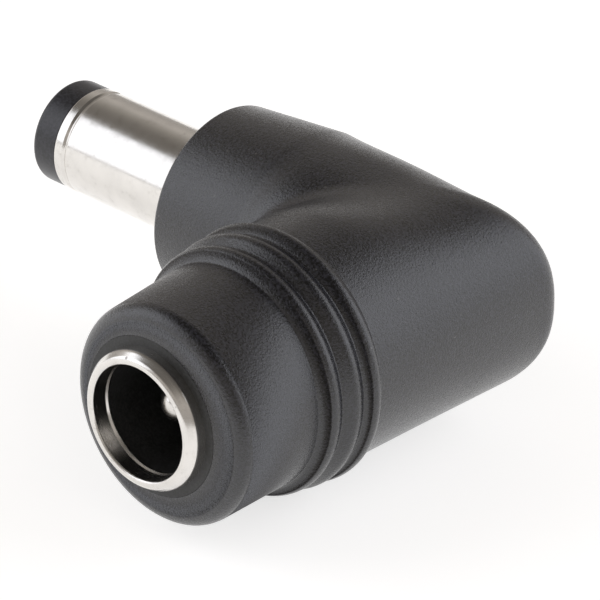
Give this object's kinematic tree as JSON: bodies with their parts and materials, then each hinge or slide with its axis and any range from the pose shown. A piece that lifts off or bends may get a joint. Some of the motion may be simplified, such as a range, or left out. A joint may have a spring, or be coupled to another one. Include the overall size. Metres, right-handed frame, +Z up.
{
  "type": "right-angle dc barrel plug adapter",
  "caption": "Right-angle DC power adapter: barrel plug on one arm, jack with centre pin in a metal ring on the other, in a black moulded elbow with grip ridges.",
  "frame": {"origin": "on the plug's axis, where the barrel leaves the moulded arm", "axes": "-X along the plug's axis towards its tip, -Y out of the jack's mouth, +Z up; both axes lie in the plane z = 0"},
  "size_m": [0.0307, 0.0248, 0.0136],
  "materials": {
    "overmould_black": "fine moulded grain",
    "insulator_black": "smooth moulded",
    "natural_plastic": "smooth moulded",
    "nickel_plate": "nickel plated, polished",
    "tinned_brass": "tinned, satin",
    "copper": "drawn",
    "red_jacket": "extruded",
    "black_jacket": "extruded",
    "solder": "bright, wetted"
  },
  "bodies": {
    "root": {"overmould_body": "overmould_black", "inner_mould": "natural_plastic", "plug_sleeve": "nickel_plate", "sleeve_tag": "tinned_brass", "plug_insulator": "insulator_black", "plug_rear_washer": "natural_plastic", "plug_centre_contact": "nickel_plate", "jack_ring": "nickel_plate", "jack_housing": "insulator_black", "jack_rear_insulator": "natural_plastic", "centre_pin": "nickel_plate", "spring_contact": "tinned_brass", "centre_wire_core": "copper", "centre_wire_jacket": "red_jacket", "outer_wire_core": "copper", "outer_wire_jacket": "black_jacket", "solder_plug_centre": "solder", "solder_centre_pin": "solder", "solder_sleeve_tag": "solder", "solder_spring_contact": "solder"}
  },
  "joints": []
}
